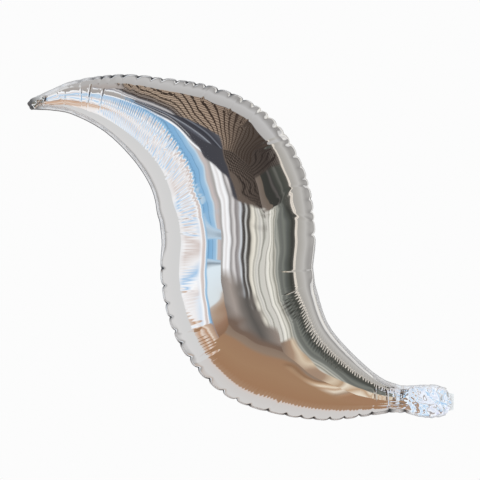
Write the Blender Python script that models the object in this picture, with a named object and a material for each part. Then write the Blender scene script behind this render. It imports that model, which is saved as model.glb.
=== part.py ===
# S-curved foil tail balloon, inflated, with its heat-sealed seam margin and inflation neck.
#
# Metres, +Z up. The origin is at the waist of the neck, where the ribbon is tied.
# The seam lies in the plane y = 0, with the front panel towards -Y and the back panel towards +Y.
# Seen from the front, the pointed tip is at upper left and the neck at lower right.

import math

import bmesh
import bpy

MM = 0.001

# Driving sizes, in millimetres
FILM_WALL = 3.0  # stands in for a metallised film of about 0.05 mm
NECK_WALL = 1.6
VALVE_WALL = 0.8
MARGIN_WIDTH = 7.0  # heat-sealed border outside the seam line
MARGIN_THICKNESS = 1.5
SCALLOP_DEPTH = 2.0  # the margin puckers where the seam is convex, so its edge is scalloped
SCALLOP_PITCH = 13.0  # along the centreline, which is about 19 along a convex edge
SCALLOP_POINTS = 3
FULL_PUCKER_TURN = 0.08  # the bend over two rows, in radians, from which the scallops are full
GAP = 0.3  # between pieces that touch
VALVE_ROW = 1  # the row of the neck where the films of the valve start
VALVE_SHOWS = 3.0  # how far the clear films stand out of the mouth

BODY_ROWS = 56
BODY_COLUMNS = 14
NECK_ROWS = 10
NECK_COLUMNS = 12
TANGENT_SPAN = 3  # rows to each side that a row takes its direction from, so that rows fan out evenly
TIP_POINTS = 6  # steps of the margin's round end at the tip
CUTTER_REACH = 4.0  # how far a cutter passes through what it opens
LEAST_HOLLOW = 4.0  # the hollow ends where it would be thinner than this

# Sections along the centreline, tip first: (x, z, half width at the seam line, half depth)
BODY_STATIONS = (
    (-624, 501, 2.5, 3),
    (-590, 508, 11, 10),
    (-557, 512, 21, 20),
    (-490, 504, 43, 41),
    (-427, 480, 66, 61),
    (-367, 447, 94, 82),
    (-316, 403, 118, 96),
    (-283, 343, 124, 101),
    (-273, 276, 124, 102),
    (-275, 208, 123, 102),
    (-257, 143, 120, 100),
    (-216, 89, 108, 93),
    (-162, 49, 80, 74),
    (-100, 21, 54, 52),
    (-35, 4, 25, 24),
    (0, 0, 16, 9),
)
NECK_STATIONS = (
    (0, 0, 16, 9),
    (16, -1, 17, 10),
    (36, -3, 20, 11),
    (62, -4, 21, 10),
    (88, -5, 16, 6),
)

FOIL = (0.82, 0.83, 0.84, 1.0)
WELDED_FOIL = (0.74, 0.75, 0.76, 1.0)
CLEAR_FILM = (0.86, 0.89, 0.91, 1.0)


def clear_scene():
    for obj in list(bpy.data.objects):
        bpy.data.objects.remove(obj, do_unlink=True)


def collection(name):
    made = bpy.data.collections.new(name)
    bpy.context.scene.collection.children.link(made)
    return made


def material(name, color, roughness, metallic):
    made = bpy.data.materials.new(name)
    made.use_nodes = True
    shader = made.node_tree.nodes["Principled BSDF"]
    shader.inputs["Base Color"].default_value = color
    shader.inputs["Roughness"].default_value = roughness
    shader.inputs["Metallic"].default_value = metallic
    return made


def blend_stations(stations, count):
    """Rows evenly spaced along a smooth curve through the stations, each with its tangent."""
    length = [0.0]
    for a, b in zip(stations, stations[1:]):
        length.append(length[-1] + math.dist(a[:2], b[:2]))

    def slope(k, column):
        before, after = max(k - 1, 0), min(k + 1, len(stations) - 1)
        rise = stations[after][column] - stations[before][column]
        return rise / (length[after] - length[before])

    def at(distance):
        k = max(i for i in range(len(stations) - 1) if length[i] <= distance)
        span = length[k + 1] - length[k]
        t = (distance - length[k]) / span
        weights = (
            2 * t**3 - 3 * t**2 + 1,
            (t**3 - 2 * t**2 + t) * span,
            3 * t**2 - 2 * t**3,
            (t**3 - t**2) * span,
        )
        return [
            weights[0] * stations[k][c]
            + weights[1] * slope(k, c)
            + weights[2] * stations[k + 1][c]
            + weights[3] * slope(k + 1, c)
            for c in range(4)
        ]

    points = [at(length[-1] * i / (count - 1)) for i in range(count)]
    rows = []
    for i, (x, z, half_width, half_depth) in enumerate(points):
        before, after = points[max(i - TANGENT_SPAN, 0)], points[min(i + TANGENT_SPAN, count - 1)]
        run = math.dist(before[:2], after[:2])
        tangent = ((after[0] - before[0]) / run, (after[1] - before[1]) / run)
        rows.append(
            {"x": x, "z": z, "width": half_width, "depth": half_depth, "tangent": tangent}
        )
    return rows


def across(row, distance):
    """The point of the seam plane at this distance from the centreline; positive is the upper side."""
    along_x, along_z = row["tangent"]
    return row["x"] - along_z * distance, row["z"] + along_x * distance


def moved_along(row, distance):
    """A copy of the row, moved along the centreline."""
    along_x, along_z = row["tangent"]
    return {**row, "x": row["x"] + along_x * distance, "z": row["z"] + along_z * distance}


def half_section(row, side, inset, reach, columns):
    """Half an ellipse standing on the seam plane. With a reach, its feet pass through the plane."""
    width, depth = row["width"] - inset, row["depth"] - inset
    points = []
    for k in range(1, columns) if reach else range(columns + 1):
        angle = math.pi * k / columns
        x, z = across(row, width * math.cos(angle))
        points.append((x, side * (GAP / 2 + depth * math.sin(angle)), z))
    if reach:
        for distance in (-width, width):
            x, z = across(row, distance)
            points.append((x, -side * reach, z))
    return points


def loft(name, sections, into):
    """A closed solid through sections that have the same number of points."""
    mesh = bmesh.new()
    rings = [[mesh.verts.new([c * MM for c in p]) for p in section] for section in sections]
    size = len(rings[0])
    for first, second in zip(rings, rings[1:]):
        for k in range(size):
            n = (k + 1) % size
            mesh.faces.new((first[k], first[n], second[n], second[k]))
    mesh.faces.new(rings[0])
    mesh.faces.new(rings[-1])
    bmesh.ops.recalc_face_normals(mesh, faces=mesh.faces)
    data = bpy.data.meshes.new(name)
    mesh.to_mesh(data)
    mesh.free()
    obj = bpy.data.objects.new(name, data)
    into.objects.link(obj)
    return obj


def as_cutter(obj):
    obj.hide_render = True
    obj.display_type = "WIRE"


def half_shell(name, rows, side, wall, columns, open_end, finish):
    """One wall of the inflated shape: a half loft, hollowed from the seam plane."""
    sections = [half_section(row, side, 0, 0, columns) for row in rows]
    shell = loft(name, sections, parts)
    hollow = [row for row in rows if min(row["width"], row["depth"]) - wall > LEAST_HOLLOW]
    if open_end:
        hollow.append(moved_along(rows[-1], CUTTER_REACH))
    inner = [half_section(row, side, wall, CUTTER_REACH, columns) for row in hollow]
    cutter = loft(name + "_hollow", inner, cutters)
    as_cutter(cutter)
    cut = shell.modifiers.new("hollow", "BOOLEAN")
    cut.operation = "DIFFERENCE"
    cut.solver = "EXACT"
    cut.object = cutter
    shell.data.materials.append(finish)
    shell.data.shade_smooth()
    shell.data.set_sharp_from_angle(angle=math.radians(40))


def flat_strip(name, outline, thickness, y, finish):
    """A flat outline in the XZ plane, given a thickness along Y."""
    curve = bpy.data.curves.new(name, "CURVE")
    curve.dimensions = "2D"
    curve.fill_mode = "BOTH"
    curve.extrude = thickness / 2 * MM
    spline = curve.splines.new("POLY")
    spline.points.add(len(outline) - 1)
    for point, (x, z) in zip(spline.points, outline):
        point.co = (x * MM, z * MM, 0, 1)
    spline.use_cyclic_u = True
    curve.materials.append(finish)
    strip = bpy.data.objects.new(name, curve)
    strip.rotation_euler = (math.pi / 2, 0, 0)
    strip.location = (0, y * MM, 0)
    parts.objects.link(strip)


def with_bend(rows):
    """The rows, each with the bend of the centreline there; positive turns towards the upper side."""
    bent = []
    for i, row in enumerate(rows):
        before, after = rows[max(i - 1, 0)]["tangent"], rows[min(i + 1, len(rows) - 1)]["tangent"]
        bent.append({**row, "bend": before[0] * after[1] - before[1] * after[0]})
    return bent


def evenly_spaced(rows, spacing):
    """Rows read between the given ones, at an even spacing along the centreline, both ends included."""
    length = [0.0]
    for a, b in zip(rows, rows[1:]):
        length.append(length[-1] + math.dist((a["x"], a["z"]), (b["x"], b["z"])))
    count = round(length[-1] / spacing)
    spots = []
    for k in range(count + 1):
        distance = length[-1] * k / count
        i = max(i for i in range(len(rows) - 1) if length[i] <= distance)
        share = (distance - length[i]) / (length[i + 1] - length[i])
        a, b = rows[i], rows[i + 1]
        spot = {key: a[key] + share * (b[key] - a[key]) for key in ("x", "z", "width", "bend")}
        spot["tangent"] = [s + share * (t - s) for s, t in zip(a["tangent"], b["tangent"])]
        spots.append(spot)
    return spots


def margin_side(rows, sign):
    """(inner, outer) edge of the margin, from the tip to the mouth; sign is 1 on the upper side."""
    inner = [across(row, sign * (row["width"] + GAP)) for row in rows]
    outer = []
    for k, spot in enumerate(evenly_spaced(rows, SCALLOP_PITCH / SCALLOP_POINTS)):
        convex = min(max(-sign * spot["bend"] / FULL_PUCKER_TURN, 0), 1)
        notch = 1 - abs(math.sin(math.pi * k / SCALLOP_POINTS))
        reach = MARGIN_WIDTH - SCALLOP_DEPTH * convex * notch
        outer.append(across(spot, sign * (spot["width"] + reach)))
    return inner, outer


def seam_margin(body, neck, finish):
    """The welded border: up one side of the tail, round the tip and down the other, mouth left open."""
    rows = with_bend(body[:-1] + neck)
    upper_inner, upper_outer = margin_side(rows, 1)
    lower_inner, lower_outer = margin_side(rows, -1)
    tip = rows[0]
    round_tip = []
    for k in range(1, TIP_POINTS):
        turn = math.pi * k / TIP_POINTS
        ahead = moved_along(tip, -MARGIN_WIDTH * math.sin(turn))
        round_tip.append(across(ahead, -(tip["width"] + MARGIN_WIDTH) * math.cos(turn)))
    before_tip = moved_along(tip, -GAP)
    inside_tip = [across(before_tip, side * tip["width"]) for side in (1, -1)]
    outline = lower_outer[::-1] + round_tip + upper_outer
    outline += upper_inner[::-1] + inside_tip + lower_inner
    flat_strip("seam_margin", outline, MARGIN_THICKNESS, 0, finish)


def valve_films(neck, finish):
    """The two clear films of the self-sealing valve, held along both sides of the neck."""
    rows = neck[VALVE_ROW:] + [moved_along(neck[-1], VALVE_SHOWS)]
    inset = NECK_WALL + 2 * GAP
    lower = [across(row, inset - row["width"]) for row in rows]
    upper = [across(row, row["width"] - inset) for row in rows]
    outline = lower + upper[::-1]
    for name, side in (("valve_film_front", -1), ("valve_film_back", 1)):
        flat_strip(name, outline, VALVE_WALL, side * (VALVE_WALL + GAP) / 2, finish)


clear_scene()
parts = collection("tail_balloon")
cutters = collection("cutters")
foil = material("metallised_film", FOIL, 0.08, 1.0)
welded = material("welded_film", WELDED_FOIL, 0.2, 1.0)
clear_film = material("clear_valve_film", CLEAR_FILM, 0.15, 0.0)

body_rows = blend_stations(BODY_STATIONS, BODY_ROWS)
neck_rows = blend_stations(NECK_STATIONS, NECK_ROWS)
neck_rows[0]["tangent"] = body_rows[-1]["tangent"]
neck_rows[0] = moved_along(neck_rows[0], GAP)

for panel_name, neck_name, facing in (
    ("front_panel", "neck_front_ply", -1),
    ("back_panel", "neck_back_ply", 1),
):
    half_shell(panel_name, body_rows, facing, FILM_WALL, BODY_COLUMNS, False, foil)
    half_shell(neck_name, neck_rows, facing, NECK_WALL, NECK_COLUMNS, True, foil)
seam_margin(body_rows, neck_rows, welded)
valve_films(neck_rows, clear_film)
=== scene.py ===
import math

import bpy
import numpy as np
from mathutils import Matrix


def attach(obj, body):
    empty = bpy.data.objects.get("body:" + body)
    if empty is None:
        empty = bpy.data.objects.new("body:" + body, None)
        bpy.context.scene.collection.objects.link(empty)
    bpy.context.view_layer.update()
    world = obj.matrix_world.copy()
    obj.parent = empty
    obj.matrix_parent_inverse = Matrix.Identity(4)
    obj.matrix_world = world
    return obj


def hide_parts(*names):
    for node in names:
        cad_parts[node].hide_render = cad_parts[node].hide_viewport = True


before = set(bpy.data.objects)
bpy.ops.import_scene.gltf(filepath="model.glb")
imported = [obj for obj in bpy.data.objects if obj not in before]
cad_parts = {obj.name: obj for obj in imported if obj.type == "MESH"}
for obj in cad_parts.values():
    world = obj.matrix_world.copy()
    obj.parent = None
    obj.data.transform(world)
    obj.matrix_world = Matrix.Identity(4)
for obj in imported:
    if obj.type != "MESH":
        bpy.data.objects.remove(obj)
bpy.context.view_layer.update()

mm = 0.001

# Sections along the tail, tip first: x, z, half width at the seam and half depth, in mm
outline = {
    "tail": (
        (-624, 501, 2.5, 3),
        (-590, 508, 11, 10),
        (-557, 512, 21, 20),
        (-490, 504, 43, 41),
        (-427, 480, 66, 61),
        (-367, 447, 94, 82),
        (-316, 403, 118, 96),
        (-283, 343, 124, 101),
        (-273, 276, 124, 102),
        (-275, 208, 123, 102),
        (-257, 143, 120, 100),
        (-216, 89, 108, 93),
        (-162, 49, 80, 74),
        (-100, 21, 54, 52),
        (-35, 4, 25, 24),
        (0, 0, 16, 9),
    ),
    "neck": (
        (0, 0, 16, 9),
        (16, -1, 17, 10),
        (36, -3, 20, 11),
        (62, -4, 21, 10),
        (88, -5, 16, 6),
    ),
    "tailTurn": 3 / 55,  # share of the length that a section takes its direction from
    "neckTurn": 3 / 9,
}


seamColumns = {-1: 0, 1: -1}  # the column of a film's grid that is on its lower and its upper seam


def deselectAll():
    for thing in bpy.context.selected_objects:
        thing.select_set(False)


def flatRun(points):
    # the way along a row of points, seen from the front
    return np.concatenate([[0], np.cumsum(np.hypot(*np.diff(points[:, :2], axis=0).T))])


def runAlong(line):
    # the way along a row of points in space
    return np.concatenate([[0], np.cumsum(np.linalg.norm(np.diff(line, axis=0), axis=1))])


def hat(t):
    # a ridge with a shallow dip on each side
    return (1 - t**2) * np.exp(-(t**2) / 2)


def peak(t, form):
    # 1 in the middle, falling on both sides: sharp for a form near 1, round for 2
    return np.exp(-np.abs(t) ** form)


def hump(distance, at):
    # from 0 at the seam to 1 at one distance, and slowly down again
    reach = distance / at
    return reach * np.exp(1 - reach)


def readStations(stations, share):
    # every column of the table on one smooth curve, at these shares of the length
    points = np.array(stations, float)
    length = flatRun(points)
    order = np.arange(len(points))
    before, after = np.maximum(order - 1, 0), np.minimum(order + 1, len(points) - 1)
    slope = (points[after] - points[before]) / (length[after] - length[before])[:, None]
    distance = np.asarray(share) * length[-1]
    k = np.clip(np.searchsorted(length, distance, "right") - 1, 0, len(points) - 2)
    span = (length[k + 1] - length[k])[:, None]
    t = (distance - length[k])[:, None] / span
    return (
        (2 * t**3 - 3 * t**2 + 1) * points[k]
        + (t**3 - 2 * t**2 + t) * span * slope[k]
        + (3 * t**2 - 2 * t**3) * points[k + 1]
        + (t**3 - t**2) * span * slope[k + 1]
    )


def makeRows(stations, count, turn):
    # rows across the film: centre, direction, half width, half depth, bend and run, in mm
    share = np.linspace(0, 1, count)
    here = readStations(stations, share)
    ahead = readStations(stations, np.minimum(share + turn, 1))[:, :2]
    behind = readStations(stations, np.maximum(share - turn, 0))[:, :2]
    along = ahead - behind
    along /= np.linalg.norm(along, axis=1)[:, None]
    run = flatRun(here)
    angle = np.unwrap(np.arctan2(along[:, 1], along[:, 0]))
    return {
        "centre": here[:, :2],
        "width": here[:, 2],
        "depth": here[:, 3],
        "along": along,
        "up": np.stack([-along[:, 1], along[:, 0]], axis=1),
        "bend": np.gradient(angle, run),
        "run": run,
    }


def columnAngles(count):
    # from the lower seam to the upper one, closer together towards the seams
    crowding = 0.2
    u = np.linspace(-1, 1, count)
    return math.pi / 2 * (1 - u * (1 + crowding - crowding * u**2))


def halfSection(rows, angles, facing):
    # the smooth film: half an ellipse over each row, facing -1 in front and 1 behind
    across = rows["width"][:, None] * np.cos(angles)
    flat = rows["centre"][:, None, :] + across[:, :, None] * rows["up"][:, None, :]
    y = facing * rows["depth"][:, None] * np.sin(angles)
    return np.stack([flat[:, :, 0], y, flat[:, :, 1]], axis=2)


def seamDistances(points):
    # the way over the film from each point to the lower and to the upper seam
    step = np.linalg.norm(np.diff(points, axis=1), axis=2)
    way = np.concatenate([np.zeros((len(points), 1)), np.cumsum(step, axis=1)], axis=1)
    return way, way[:, -1:] - way


def outward(points, facing):
    # unit normals of a grid of points, away from the gas
    normal = np.cross(np.gradient(points, axis=0), np.gradient(points, axis=1))
    normal /= np.maximum(np.linalg.norm(normal, axis=2), 1e-9)[:, :, None]
    middle = normal[len(points) // 2, points.shape[1] // 2, 1]
    return normal if middle * facing > 0 else -normal


def smoothed(values, reach):
    # a running mean along the rows, the ends repeated
    bell = np.hanning(2 * reach + 3)[1:-1]
    bell /= bell.sum()
    padded = np.concatenate([np.repeat(values[:1], reach, 0), values, np.repeat(values[-1:], reach, 0)])
    flatForm = padded.reshape(len(padded), -1)
    made = np.stack([np.convolve(column, bell, "valid") for column in flatForm.T], axis=1)
    return made.reshape(values.shape)


def finer(values, count, axis):
    # a grid read at more places along one axis, on smooth curves through its points
    values = np.moveaxis(values, axis, 0)
    place = np.linspace(0, len(values) - 1, count)
    k = np.clip(place.astype(int), 0, len(values) - 2)
    t = (place - k).reshape((-1,) + (1,) * (values.ndim - 1))
    a, b = values[np.maximum(k - 1, 0)], values[k]
    c, d = values[k + 1], values[np.minimum(k + 2, len(values) - 1)]
    made = b + 0.5 * t * (c - a + t * (2 * a - 5 * b + 4 * c - d + t * (3 * (b - c) + d - a)))
    return np.moveaxis(made, 0, axis)


# The gas blown in: a cloth simulation of both films, welded at the seams
blowing = {
    "rows": 440,
    "columns": 36,
    "frames": 14,
    "slack": 0.10,  # spare length at a convex seam, as a share
    "slackReach": 38.0,  # how far it reaches in from the seam, mm
    "leastSlack": 0.2,  # share of it that is left at a straight seam
    "fullBend": 0.003,  # bend per mm from which the slack is whole
    "mostSlack": 0.12,
    "flange": 7.0,
    "seed": 7,
    "unevenness": 0.25,  # mm, so that wrinkles start
    "unevenFrom": 0.004,  # share of spare length from which the film is uneven
    "evenRows": 26,  # rows over which slower changes of shape are taken out
    "mostShift": 7.0,  # mm that a point may move
    "kept": 0.6,  # share of the wrinkles' height that is kept
    "eased": 2,  # rows over which they are eased
    "tipReach": 150.0,  # mm from the tip in which they grow to full height
    "keptReach": 19.0,  # how far in from a seam they are kept, mm
    "keptInside": 0.015,  # share of it that is kept further in
    "mostLean": 5.0,  # mm that a flange may lean to the front or back
}
clothFilm = {  # stiff in its plane and soft in bending, blown up with no weight
    "quality": 6, "mass": 0.1, "air_damping": 1, "tension_stiffness": 60,
    "compression_stiffness": 30, "shear_stiffness": 5, "bending_stiffness": 0.05,
    "tension_damping": 5, "compression_damping": 5, "shear_damping": 5, "use_pressure": True,
    "uniform_pressure_force": 10, "vertex_group_pressure": "pressed",
    "vertex_group_shrink": "spare", "shrink_min": 0, "shrink_max": -blowing["mostSlack"],
}


def bendSide(rows, side, full):
    # 0 to 1: how convex that seam is; side is 1 on the upper side
    return np.clip(-side * rows["bend"] / full, 0, 1)


def weldedFilms(rows, angles, rule):
    # both films and a free flange on each side, on the smooth shape: points in mm, spare length, faces
    count, columns = len(rows["run"]), len(angles)
    front, back = halfSection(rows, angles, -1), halfSection(rows, angles, 1)
    frontIndex = np.arange(count * columns).reshape(count, columns)
    backIndex = frontIndex + count * columns
    backIndex[:, 0], backIndex[:, -1] = frontIndex[:, 0], frontIndex[:, -1]
    slack = np.zeros((count, columns))
    for side, distance in zip((-1, 1), seamDistances(front)):
        convex = bendSide(rows, side, rule["fullBend"])[:, None]
        amount = rule["slack"] * (rule["leastSlack"] + (1 - rule["leastSlack"]) * convex)
        slack += amount * np.exp(-((distance / rule["slackReach"]) ** 2))
    points, slacks = [front.reshape(-1, 3), back.reshape(-1, 3)], [slack.ravel(), slack.ravel()]
    faces, flanges, total = [], {}, 2 * count * columns
    for index, turned in ((frontIndex, False), (backIndex, True)):
        quads = np.stack([index[:-1, 1:], index[:-1, :-1], index[1:, :-1], index[1:, 1:]], axis=2)
        faces.append(quads.reshape(-1, 4)[:, ::-1] if turned else quads.reshape(-1, 4))
    for side, column in seamColumns.items():
        strip = [frontIndex[:, column]]
        for k in (1, 2):
            reach = side * k / 2 * rule["flange"]
            edge = front[:, column].copy()
            edge[:, [0, 2]] += reach * rows["up"]
            points.append(edge)
            slacks.append(slack[:, column])
            strip.append(total + np.arange(count))
            total += count
        flanges[side] = strip
        for inner, outer in zip(strip, strip[1:]):
            quads = np.stack([inner[:-1], inner[1:], outer[1:], outer[:-1]], axis=1)
            faces.append(quads if side > 0 else quads[:, ::-1])
    films = {-1: frontIndex, 1: backIndex}
    return np.concatenate(points), np.concatenate(slacks), np.concatenate(faces), films, flanges


def blowUp(rows, angles, rule):
    # the wrinkles of both films and the tilt of the flanges, in mm, from a simulation
    smooth, slacks, faces, films, flanges = weldedFilms(rows, angles, rule)
    points = smooth * mm
    chance = np.random.default_rng(rule["seed"])
    uneven = chance.normal(0, rule["unevenness"] * mm, points.shape)
    points += uneven * (slacks > rule["unevenFrom"])[:, None]
    mesh = bpy.data.meshes.new("blown")
    mesh.from_pydata(points.tolist(), [], faces.tolist())
    blown = bpy.data.objects.new("blown", mesh)
    bpy.context.scene.collection.objects.link(blown)
    pressed = blown.vertex_groups.new(name="pressed")
    pressed.add(range(2 * films[-1].size), 1.0, "REPLACE")
    spare = blown.vertex_groups.new(name="spare")
    for k, amount in enumerate(slacks):
        spare.add([k], min(1, amount / rule["mostSlack"]), "REPLACE")
    cloth = blown.modifiers.new("film", "CLOTH")
    for key, value in clothFilm.items():
        setattr(cloth.settings, key, value)
    cloth.settings.effector_weights.gravity = 0
    cloth.collision_settings.use_collision = False
    cloth.point_cache.frame_start = 1
    cloth.point_cache.frame_end = rule["frames"]
    for number in range(1, rule["frames"] + 1):
        bpy.context.scene.frame_set(number)
    shown = blown.evaluated_get(bpy.context.evaluated_depsgraph_get())
    moved = np.zeros(len(points) * 3, np.float32)
    shown.data.vertices.foreach_get("co", moved)
    moved = moved.reshape(-1, 3).astype(float) / mm
    bpy.data.objects.remove(blown)
    bpy.data.meshes.remove(mesh)
    bpy.context.scene.frame_set(1)
    wrinkles, tilts = {}, {}
    for facing, index in films.items():
        shift = moved[index] - smooth[index]
        shift -= smoothed(shift, rule["evenRows"])
        size = np.linalg.norm(shift, axis=2, keepdims=True)
        wrinkles[facing] = shift * np.minimum(1, rule["mostShift"] / np.maximum(size, 1e-6))
    for side, strip in flanges.items():
        lean = moved[strip[2], 1] - moved[strip[0], 1]
        tilts[side] = np.clip(lean, -rule["mostLean"], rule["mostLean"])
    return wrinkles, tilts


# Where the film puckers, creases and gathers. Tables by run go from the tip, in mm, on each side.
puckers = {
    "seed": 11,
    "leastConvex": 0.2,
    "leastStrength": 0.4,  # share of a pleat that is left where the seam is hardly convex
    "smoothTip": 60,  # mm from the tip in which there are hardly any
    "tipReach": 160,  # mm after that in which they grow
    "leastGrown": 0.12,
    "spacing": {1: (15, 25), -1: (21, 33)},  # mm between pleats, on the upper and the lower side
    "pull": (0.5, 1.4),  # how far a pleat draws the seam in
    "halfWidth": (2.4, 3.6),
    "valley": (0.8, 1.8),
    "reach": (10, 22),
    "lean": (-1.4, 1.4),  # how far a pleat pushes the seam to the front or back
    "drawnReach": 14,
    "leanReach": 8,
    # how far the film swells out past the seam between pleats where that is convex, the share of it
    # where it is straight, and the share that a pleat takes away
    "bulge": {
        -1: ((0, 4.4), (940, 4.4)),
        1: ((0, 4.4), (250, 4.6), (330, 6.2), (620, 6.2), (680, 4.4), (940, 4.4)),
    },
    "leastBulge": {
        -1: ((0, 0.4), (940, 0.4)),
        1: ((0, 0.4), (250, 0.5), (330, 0.9), (580, 0.9), (650, 0.4), (940, 0.4)),
    },
    "hollow": {
        -1: ((0, 0.6), (940, 0.6)),
        1: ((0, 0.6), (290, 0.6), (350, 0.15), (620, 0.15), (700, 0.5), (940, 0.5)),
    },
    "bulgeAt": 7.0,  # mm over the film from the seam
    "bulgeWidth": 50,  # half width of the tail from which it is whole
    "fullBend": 0.0012,  # bend per mm from which it is whole
    "eased": 12,  # rows over which it comes and goes
    "nearPull": 0.6,  # pull from which a pleat wholly counts
    "nearReach": 1.1,
    "notch": {1: 2.6, -1: 2.8},  # how far a pleat draws in the edge of the margin, as a multiple of its pull
    "notchReach": 1.3,
    "tilt": 1.2,  # how far it tilts the margin, as a multiple of its lean
    "darkReach": {1: 2.2, -1: 2.0},  # how far the painted shade on the margin reaches beside it, in half widths
    "darkPull": 0.5,  # pull from which the margin is wholly darkened by painted shade
    # how round the profile of each effect is
    "form": {"valley": 1.4, "drawn": 1.3, "near": 1.5, "notch": 1.2, "tilt": 1.5, "dark": 1.6},
}
combs = {
    "seed": 5,
    "measuredAt": 0.7,  # share of the half width at which they are placed
    "ridge": 0.31,  # as a multiple of the spacing, and so is the height
    "height": (0.026, 0.047),
    "from": 105,  # mm from the tip
    "endBefore": 10,  # mm from the waist
    "unevenSpacing": (0.8, 1.2),
    "unevenRidge": (0.75, 1.25),
    "unevenEnd": 0.04,
    "slant": 0.02,
    "slantFrom": 60,  # mm from the seam
    "rise": 0.12,  # share of the half width over which a wrinkle rises, and runs out
    "fall": 0.24,
    # mm between wrinkles, the shares of the half width where they start and end, and their strength
    "spacing": {
        -1: ((105, 3.0), (185, 3.6), (260, 4.4), (440, 5.2), (860, 5.8)),
        1: ((570, 5.0), (890, 5.0)),
    },
    "outerEnd": {
        -1: ((105, 0.66), (225, 0.66), (310, 0.64), (434, 0.74), (600, 0.80), (860, 0.82)),
        1: ((570, 0.80), (890, 0.82)),
    },
    "innerEnd": {
        -1: ((118, -0.1), (185, -0.02), (238, 0.16), (314, 0.36), (392, 0.54), (440, 0.62), (860, 0.62)),
        1: ((570, 0.62), (890, 0.60)),
    },
    "strength": {
        -1: ((105, 0.2), (150, 0.6), (420, 0.75), (450, 0.15), (590, 0.2), (610, 0.7), (860, 0.5)),
        1: ((570, 0), (615, 1.3), (890, 1.3)),
    },
}
waves = {"seed": 3, "count": 5, "sizes": (34, 60, 110), "heights": (0.10, 0.30, 0.7), "wander": 0.3}
creases = (  # straight folds from one place to another: run in mm and share across, ridge, height, kink
    (42, 0.95, 55, -0.45, 1.3, 0.22, 0.05),
    (59, 0.35, 57, -0.80, 1.3, 0.22, 0.05),
    (86, 0.60, 88, -0.70, 1.4, 0.28, 0.04),
    (101, 0.85, 99, -0.80, 1.4, 0.34, 0.05),
    (122, 0.50, 123, -0.70, 1.5, 0.26, 0.04),
    (235, -0.30, 226, -0.78, 2.2, 0.34, 0.00),
    (266, -0.34, 251, -0.80, 2.2, 0.36, 0.00),
    (292, -0.90, 307, -0.50, 2.2, 0.40, 0.02),
    (267, 1.00, 267, 0.70, 2.0, 0.45, 0.05),
    (301, 1.00, 307, 0.66, 2.0, 0.50, 0.05),
    (327, 1.00, 331, 0.64, 2.0, 0.50, 0.06),
    (370, 1.00, 365, 0.60, 2.0, 0.50, 0.06),
    (423, 1.00, 419, 0.72, 2.0, 0.55, 0.07),
    (419, 0.80, 446, 0.40, 2.2, 0.40, 0.06),
    (460, 1.00, 449, 0.74, 2.0, 0.45, 0.05),
    (454, 0.59, 412, 0.66, 2.4, 0.25, 0.04),
    (443, 0.47, 520, 0.38, 2.6, 0.25, 0.04),
    (418, -0.90, 432, -0.50, 2.0, 0.45, 0.02),
    (455, -1.00, 472, -0.55, 2.0, 0.45, 0.02),
    (551, -1.00, 554, -0.62, 2.2, 0.45, 0.04),
    (595, -1.00, 598, -0.55, 2.4, 0.70, 0.07),
    (602, -0.95, 603, -0.60, 2.0, -0.35, 0.00),
    (633, -1.00, 634, -0.55, 2.4, 0.65, 0.07),
    (709, -1.00, 704, -0.64, 2.0, 0.45, 0.04),
    (736, -1.00, 737, -0.68, 2.0, 0.40, 0.04),
    (545, 1.00, 538, 0.60, 2.0, 0.40, 0.03),
    (604, 0.84, 602, 0.56, 2.0, 0.40, 0.02),
    (878, -0.30, 871, 0.60, 1.8, 0.45, 0.06),
    (899, -0.50, 893, 0.75, 1.6, 0.50, 0.08),
    (912, 0.00, 908, 0.75, 1.4, 0.40, 0.08),
)
creaseRule = {
    "kinkReach": 22.0,  # mm on both sides in which the film is kinked
    "farthest": 2.5,  # as a multiple of that
    "round": 0.8,
    "early": 3,  # mm that a crease starts before its place, and in which it rises
    "rise": 8,
    "taper": 0.35,  # share of its length over which it runs out
    "backShift": 23.0,
    "backShare": 0.8,
}
gather = {
    "seed": 9, "count": 9, "uneven": (0.2, 0.8), "height": 1.5, "halfAngle": 0.10, "seamHold": 3,
    "reachTail": 48, "reachNeck": 26,
}
film = {"rows": 1400, "columns": 64, "held": 4}  # held: mm from the seams in which details grow


def readTables(run, tables, side):
    # tables by run, read at one run or at many
    return [np.interp(run, *zip(*table[side])) for table in tables]


def placePuckers(rows, seamRun, side):
    # where the pleats are along one seam: place, pull, half width, valley, reach, lean
    chance = np.random.default_rng(puckers["seed"] + side)
    convex = bendSide(rows, side, blowing["fullBend"])
    least = puckers["leastStrength"]
    made, place = [], 0.0
    while place < seamRun[-1]:
        place += chance.uniform(*puckers["spacing"][side])
        share = np.interp(place, seamRun, convex)
        pull, halfWidth, valley, reach, lean = (
            chance.uniform(*puckers[key]) for key in ("pull", "halfWidth", "valley", "reach", "lean")
        )
        if share > puckers["leastConvex"]:
            grown = np.clip((place - puckers["smoothTip"]) / puckers["tipReach"], puckers["leastGrown"], 1)
            strength = (least + (1 - least) * share) * grown
            made.append((place, pull * strength, halfWidth, valley * strength, reach, lean * grown))
    return made


def addValleys(height, seamRun, distance, pleats):
    # the hollow of each pleat, wider and fainter away from the seam
    for place, pull, halfWidth, valley, reach, lean in pleats:
        first, last = np.searchsorted(seamRun, (place - 4 * halfWidth, place + 4 * halfWidth))
        t = (seamRun[first:last, None] - place) / (halfWidth * (1 + distance[first:last] / reach))
        fade = np.exp(-distance[first:last] / reach)
        height[first:last] -= valley * peak(t, puckers["form"]["valley"]) * fade


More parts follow.
